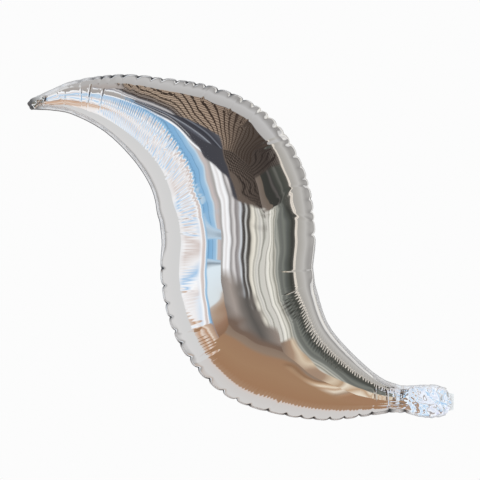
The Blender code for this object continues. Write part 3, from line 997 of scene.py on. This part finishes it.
# Layers of stripes: direction, from, to, colours by per cent of that way, and the limits inside which the
# layer shows. A layer of a lattice has its two directions, its colour and its limits.
cards = {
    "left": {"centre": (-1.0, -0.35, 0.485), "size": (3.1, 1.93), "turn": (90, 0, 90), "layers": (
        ((0, 1, 0.12), -1.8, 0.1, {
            0: "#BDB5B4", 10: "#CDC1BC", 16: "#C4BCBA", 21: "#C9DCE8", 26: "#A3C6E0", 37: "#93BCDC",
            38.5: "#6E95B5", 40: "#8AB7DA", 49: "#83B1D6", 50.5: "#6B93B4", 52: "#8FBBDC", 55: "#A5CBE6",
            56.5: "#FFFFFF", 58.5: "#D2C3BC", 62: "#DCD0CA", 64: "#FFFFFF", 70: "#DDE8F3", 80: "#F4F1F0",
            90: "#FDFDFD", 100: "#DEDCDA",
        }, ()),
        ((0, 0.12, 1), -0.1, 1.3, {
            0: "#FFFFFF", 5: "#E0D3CD", 10: "#FFFFFF", 15: "#AACBE9", 20: "#F6F4F3", 25: "#D9CCC6",
            31: "#FFFFFF", 36: "#B0CFEA", 42: "#FFFFFF", 47: "#D5C8C3", 53: "#F0F4F8", 58: "#9FC5E8",
            64: "#E4EDF5", 70: "#DACDC8", 76: "#FFFFFF", 82: "#A6C9E8", 88: "#F4F8FB", 94: "#D8CCC7",
            100: "#FFFFFF",
        }, (((0, 1, 0.27), -0.56, -0.46), ((0, 1, 0.27), 0.06, -0.10), ((0, 0, 1), -0.05, 0.05))),
        ((0, 0, 1), 1.0, 1.45, {
            0: "#B9CBD8", 10: "#FFFFFF", 26: "#FFFFFF", 34: "#7A7A7E", 60: "#3F3F45", 70: "#C8C6C6",
            80: "#4A4A50", 100: "#38383E",
        }, (((0, 0, 1), 1.0, 1.02), ((0, 1, 0.12), -0.84, -0.90))),
        ((0, 1, 0), -0.95, -0.45, {
            0: "#93BCDC", 20: "#C3D4E9", 40: "#AFC9E2", 70: "#C3D7E8", 100: "#A9C7DF",
        }, (((0, 0.6, 1), 0.26, 0.38), ((0, 1, 0), -0.92, -0.86), ((0, 1, 0.27), -0.26, -0.34))),
        ((0, 0, 1), 1.0, 1.45, {
            0: "#B9CBD8", 8: "#FFFFFF", 20: "#FFFFFF", 28: "#A8A29D", 100: "#B0AAA5",
        }, (((0, 0, 1), 1.02, 1.04), ((0, 1, 0.12), -0.86, -0.78))),
        ((0, 0, 1), -0.48, 0.27, {
            0: "#8C6C55", 22: "#9C7B65", 36: "#AD947F", 46: "#BFAFA2", 50: "#DDE4E6", 86: "#E2EEF4",
            92: "#83909B", 96: "#C3D5E2", 100: "#A3C6E0",
        }, (((0, 0, 1), 0.27, 0.265), ((0, 1, 0), -0.80, -0.86))),
        ((0, 1, 0), -0.9, 0.0, {
            0: "#9C7B65", 30: "#C9AE98", 40: "#EADBCB", 50: "#B98F70", 70: "#E6D6C8", 80: "#C79F80",
            100: "#D8CEC6",
        }, (((0, -0.25, 1), -0.02, -0.05), ((0, 1, 0), -0.88, -0.80))),
        (*shade, {0: "#D6D5D3", 55: "#D8D6D4", 100: "#8E8B88"}, (besides,)),
    )},
    "right": {"centre": (0.95, -0.35, 0.485), "size": (3.1, 1.93), "turn": (90, 0, -90), "layers": (
        ((0, 1, 0), -1.9, 0.0, {
            0: "#D2CFC6", 12: "#D5D1C8", 16: "#A09D93", 20: "#E0DDD4", 28: "#F4F0E4", 33: "#B0AEA3",
            37: "#E6E2D6", 42: "#C3C0B5", 46: "#8B897D", 49: "#C9C5B9", 53: "#8C8E87", 56: "#A9A9A0",
            60: "#777972", 66: "#6E6F6A", 70: "#7D7F77", 77: "#5E605C", 83: "#52544E", 89: "#3F3F3B",
            94: "#4C4B46", 96.5: "#77736C", 97.5: "#E9DFD2", 100: "#E9DFD2",
        }, ()),
        ((0, 1, 0), -1.9, 0.0, {
            0: "#7F736A", 27: "#73675C", 30: "#3D3D39", 50: "#3B3B37", 56: "#5F5A57", 61: "#42423E",
            70: "#4A4B45", 76: "#6B6A64", 80: "#4B4D47", 93: "#56554F", 96.5: "#77736C", 97.5: "#E9DFD2",
            100: "#E9DFD2",
        }, (((0, 0, 1), 0.44, 0.54),)),
        ((0, 1, -0.7), -1.6, 0.0, {
            0: "#8C7A6C", 25: "#A98E78", 32: "#D9C7AE", 40: "#B6987A", 47: "#EBE0CC", 55: "#C2A384",
            64: "#F0E6D3", 72: "#9B8A78", 80: "#E4D9C6", 100: "#B9B5AF",
        }, (((0, -0.3, 1), 0.42, 0.36), ((0, 0, 1), 0.12, 0.04))),
        ((0, 1, 0), -1.9, 0.0, {0: "#5A5049", 70: "#4A423D", 100: "#6E665F"}, (((0, 0, 1), 1.02, 1.06),)),
        ((0, 1, 0), (0, 0, 1), "#332C29", (((0, 0, 1), 1.03, 1.04), ((0, 1, 0), -0.1, -0.11))),
        (*shade, {
            0: "#E9DFD2", 1.2: "#A9A49D", 2.2: "#F0E6D8", 4.5: "#F0E6D8", 5.5: "#ACA8A1", 20: "#B0ACA5",
            55: "#C0BDB8", 100: "#8E8B88",
        }, (besides,)),
    )},
    "front": {"centre": (-0.025, -1.9, 0.485), "size": (1.95, 1.93), "turn": (90, 0, 180), "layers": (
        ((1, 0, 0), -1.0, 0.95, {
            0: "#B5B0AC", 4: "#A9A5A1", 8: "#FFFFFF", 14: "#E2DEDC", 18: "#FFFFFF", 22: "#F1F0F0",
            26: "#8F8B89", 30: "#C9C5C3", 33: "#E4E0DE", 37: "#8B8584", 42: "#A8A3A1", 46: "#DCE0E4",
            49: "#5B5653", 53: "#3A3735", 56: "#D9D9D6", 59: "#5C5853", 63: "#45423E", 67: "#D9D3C5",
            72: "#F1EBDD", 76: "#A9A69C", 79: "#E0DCD0", 83: "#C6C4BD", 87: "#E6E2D8", 91: "#8F8D84",
            95: "#D4D2C8", 100: "#D2CFC6",
        }, ()),
        ((1, 0, 0), -1.0, 0.95, {
            0: "#45454B", 40: "#47474C", 44: "#6B5F56", 100: "#584E47",
        }, (((0, 0, 1), 0.40, 0.50), ((0.42, 0, 1), 0.38, 0.46))),
        ((1, 0, 0), -1.0, 0.95, {
            0: "#8F8781", 20: "#A79C94", 35: "#7C756F", 50: "#5E5A56", 70: "#7D756E", 100: "#9A8C82",
        }, (((0, 0, 1), 0.14, 0.02),)),
        ((0, 0, 1), -0.48, 0.0, {0: "#7A6557", 100: "#6E645D"}, (((0, 0, 1), -0.20, -0.36),)),
        ((1, 0, 0), (0, 0, 1), "#2F2926", (((0.3, 0, 1), 0.72, 0.74), ((1, 0, 0), -0.14, -0.13))),
    )},
    "above": {"centre": (-0.025, -0.35, 1.45), "size": (1.95, 3.1), "turn": (180, 0, 0), "layers": (
        ((1, 0, 0), -1.0, 0.95, {
            0: "#B9B7B5", 3: "#FFFFFF", 5: "#85838A", 8: "#D0CCC9", 11: "#5B5A5F", 16: "#8E837B",
            22: "#B7A28E", 42: "#AD9784", 58: "#8A796B", 75: "#5F554D", 100: "#4B433E",
        }, ()),
        ((1, 0, 0), (0, 1, 0), "#3F342D", (((1, 0, 0), -0.80, -0.79),)),
        ((1, 0.5, 0), -1.9, -0.8, {
            0: "#4A4A51", 25: "#5E6068", 32: "#A3A6AD", 38: "#46464C", 60: "#3C3C42", 66: "#7C7F87",
            72: "#45454B", 90: "#55565C", 100: "#6A6A6E",
        }, (((0.35, 1, 0), -1.28, -1.36), ((1, 0, 0), -0.10, -0.20))),
        (*shade, {0: "#B6B3B0", 55: "#C4C2C0", 100: "#8E8B88"}, (((0.12, 1, 0), 0.0, 0.02),)),
        ((0, 1, 0), -0.4, 0.1, {
            0: "#A39A94", 50: "#B3ABA6", 100: "#B6B3B0",
        }, (((1, 0, 0), -0.62, -0.72), ((0, 1, 0), -0.38, -0.32))),
    )},
    "below": {"centre": (-0.025, -0.35, -0.48), "size": (1.95, 3.1), "turn": (0, 0, 0), "layers": (
        ((0, 1, 0), -1.9, 0.0, {
            0: "#8A7768", 30: "#94806F", 42: "#A17E62", 70: "#A58264", 92: "#A27C5E", 100: "#A9876C",
        }, ()),
        ((0.7, 1, 0), -0.9, -0.25, {
            0: "#A17E62", 22: "#8F6F55", 36: "#C6A788", 48: "#EBDDC6", 58: "#BF9F82", 70: "#E9DCC8",
            85: "#A88F79", 93: "#B08B6E", 100: "#A57F62",
        }, (((0.7, 1, 0), -0.85, -0.75), ((1, 0, 0), 0.15, 0.35))),
        (*shade, {0: "#DAC8BD", 12: "#D2CDC9", 50: "#D2CFCC", 100: "#A89383"}, (((0, 1, 0), 0.02, 0.05),)),
    )},
    "underTip": {"centre": (-0.605, -0.062, 0.46), "size": (0.12, 0.08), "turn": (0, 0, 0), "layers": (
        ((1, 0.6, 0), -0.70, -0.57, {
            0: "#A9988C", 15: "#BD9374", 30: "#DFC5B0", 42: "#C79F80", 55: "#E4D2C4", 70: "#D3B49B",
            85: "#EFE5DD", 100: "#F6F1EE",
        }, ()),
    )},
    "byTip": {"centre": (-0.635, -0.019, 0.502), "size": (0.044, 0.042), "turn": (90, 0, 0), "layers": (
        ((0.7, 0, 1), 0.03, 0.09, {
            0: "#3F4036", 20: "#6E6F60", 40: "#3A3A32", 55: "#55564A", 70: "#9A9B8C", 80: "#45463B",
            100: "#5C5D50",
        }, ()),
    )},
    "byNeck": {"centre": (0.068, -0.027, -0.004), "size": (0.124, 0.11), "turn": (90, 0, 0), "layers": (
        ((1, 0, 0.6), -0.03, 0.16, {
            0: "#8A6B56", 16: "#A58264", 20: "#5B463C", 23: "#FFFFFF", 30: "#A6C9E6", 34: "#FFFFFF",
            38: "#6B5348", 40: "#F4F6FA", 46: "#DADCE8", 50: "#FFFFFF", 55: "#8DBBDF", 60: "#FFFFFF",
            64: "#4F4038", 66: "#F8FAFC", 73: "#B5D2EA", 77: "#FFFFFF", 82: "#8E7265", 84: "#FFFFFF",
            91: "#A9CBE6", 100: "#FFFFFF",
        }, ()),
    )},
    "underNeck": {"centre": (0.070, 0.0, -0.045), "size": (0.12, 0.07), "turn": (0, 0, 0), "layers": (
        ((1, 0.4, 0), 0.0, 0.14, {
            0: "#8FB8DA", 15: "#FFFFFF", 30: "#A9CBE6", 38: "#8C6A58", 44: "#FFFFFF", 60: "#C9C8E4",
            72: "#FFFFFF", 85: "#7D6A62", 90: "#FFFFFF", 100: "#A9CBE6",
        }, ()),
    )},
    "overNeck": {"centre": (0.070, 0.0, 0.045), "size": (0.12, 0.07), "turn": (180, 0, 0), "layers": (
        ((1, -0.4, 0), 0.0, 0.14, {
            0: "#C4A596", 15: "#E9E4E4", 30: "#B9CFE4", 42: "#FFFFFF", 55: "#A58E82", 65: "#FFFFFF",
            80: "#D9D6E6", 100: "#FFFFFF",
        }, ()),
    )},
    "behind": {"centre": (-0.025, 1.2, 0.485), "size": (1.95, 1.93), "turn": (90, 0, 0), "layers": (
        ((1, 0, 0), -1.0, 0.95, {
            0: "#C8C6C4", 14: "#DDE3EA", 24: "#F8F8F8", 31: "#9A9C9E", 38: "#6A6C6F", 45: "#A3A1A0",
            55: "#F4F2EE", 72: "#B9B4AC", 85: "#EDEAE4", 100: "#C8C6C4",
        }, ()),
    )},
}
lattice = {"pitch": 0.092, "line": 0.026}


def ramped(tree, place, direction, low, high):
    # 0 to 1 between two places along a direction
    along = addNode(tree, "VectorMath", {"operation": "DOT_PRODUCT", 1: direction}, {0: place})
    ends = {"From Min": low, "From Max": high}
    return addNode(tree, "MapRange", ends, {"Value": along.outputs["Value"]}).outputs["Result"]


def insideLimits(tree, place, limits):
    share = None
    for direction, low, high in limits:
        part = ramped(tree, place, direction, low, high)
        if share is not None:
            part = addNode(tree, "Math", {"operation": "MULTIPLY"}, {0: share, 1: part}).outputs[0]
        share = part
    return share


def latticeLines(tree, place, directions):
    lines = []
    for direction in directions:
        along = addNode(tree, "VectorMath", {"operation": "DOT_PRODUCT", 1: direction}, {0: place})
        fold = {"operation": "PINGPONG", 1: lattice["pitch"] / 2}
        fold = addNode(tree, "Math", fold, {0: along.outputs["Value"]})
        line = {"operation": "LESS_THAN", 1: lattice["line"] / 2}
        lines.append(addNode(tree, "Math", line, {0: fold.outputs[0]}).outputs[0])
    return addNode(tree, "Math", {"operation": "MAXIMUM"}, {0: lines[0], 1: lines[1]}).outputs[0]


def paintCard(name, card):
    # inputs 6 and 7 of a mix node are its two colours
    made = bpy.data.materials.new(name)
    made.use_nodes = True
    made.cycles.emission_sampling = "NONE"
    tree = made.node_tree
    tree.nodes.clear()
    place = addNode(tree, "TexCoord").outputs["Object"]
    colour = None
    for *pattern, limits in card["layers"]:
        inside = insideLimits(tree, place, limits)
        if len(pattern) == 3:
            first, second, code = pattern
            lines = latticeLines(tree, place, (first, second))
            share = addNode(tree, "Math", {"operation": "MULTIPLY"}, {0: inside, 1: lines}).outputs[0]
            over = {"data_type": "RGBA", 7: fromHex(code)}
            colour = addNode(tree, "Mix", over, {0: share, 6: colour}).outputs[2]
            continue
        direction, low, high, colours = pattern
        ramp = addNode(tree, "ValToRGB", None, {"Fac": ramped(tree, place, direction, low, high)})
        elements = ramp.color_ramp.elements
        while len(elements) < len(colours):
            elements.new(1.0)
        for element, (position, code) in zip(elements, colours.items()):
            element.position, element.color = position / 100, fromHex(code)
        over = ramp.outputs["Color"]
        if limits:
            over = addNode(tree, "Mix", {"data_type": "RGBA"}, {0: inside, 6: colour, 7: over}).outputs[2]
        colour = over
    light = addNode(tree, "Emission", {"Strength": studio["glow"]}, {"Color": colour})
    addNode(tree, "OutputMaterial", None, {"Surface": light.outputs["Emission"]})
    return made


for name, card in cards.items():
    deselectAll()
    turn = [math.radians(a) for a in card["turn"]]
    bpy.ops.mesh.primitive_plane_add(size=1, location=card["centre"], rotation=turn)
    plane = bpy.context.active_object
    plane.name = "card." + name
    plane.scale = (*card["size"], 1)
    bpy.ops.object.transform_apply(location=True, rotation=True, scale=True)
    plane.data.materials.append(paintCard(plane.name, card))
    plane.visible_camera = plane.visible_diffuse = plane.visible_shadow = False
    plane.visible_transmission = plane.visible_volume_scatter = False

deselectAll()
bpy.ops.mesh.primitive_circle_add(
    vertices=studio["corners"],
    radius=studio["floorSize"] / 2,
    fill_type="NGON",
    location=(studio["middle"], 0, studio["floor"]),
)
floor = bpy.context.active_object
floor.name = "studioFloor"
paleFloor, _, _ = newMaterial("paleFloor", {"Base Color": fromHex("#F1F1F0"), "Roughness": 0.8})
floor.data.materials.append(paleFloor)
floor.visible_glossy = False

world = bpy.data.worlds.new("studioWorld")
bpy.context.scene.world = world
world.use_nodes = True
background = world.node_tree.nodes["Background"]
background.inputs["Color"].default_value = fromHex("#FCFCFC")
background.inputs["Strength"].default_value = 1.0

deselectAll()
turn = [math.radians(a) for a in lamp["turn"]]
bpy.ops.object.light_add(type="AREA", location=lamp["place"], rotation=turn)
key = bpy.context.active_object
key.data.shape = "DISK"
key.data.size = lamp["size"]
key.data.energy = lamp["power"]
key.visible_glossy = key.visible_camera = False

# The photograph's view: level, 0.816 m across at the seam plane
sight = {"distance": 2.6, "span": 0.816, "target": (-0.2703, 0.2703), "sensor": 36}
deselectAll()
x, z = sight["target"]
bpy.ops.object.camera_add(location=(x, -sight["distance"], z), rotation=(math.pi / 2, 0, 0))
camera = bpy.context.active_object
camera.data.sensor_width = sight["sensor"]
camera.data.lens = sight["sensor"] * sight["distance"] / sight["span"]
bpy.context.scene.camera = camera
bpy.context.scene.view_settings.view_transform = "Standard"
print("studio set")
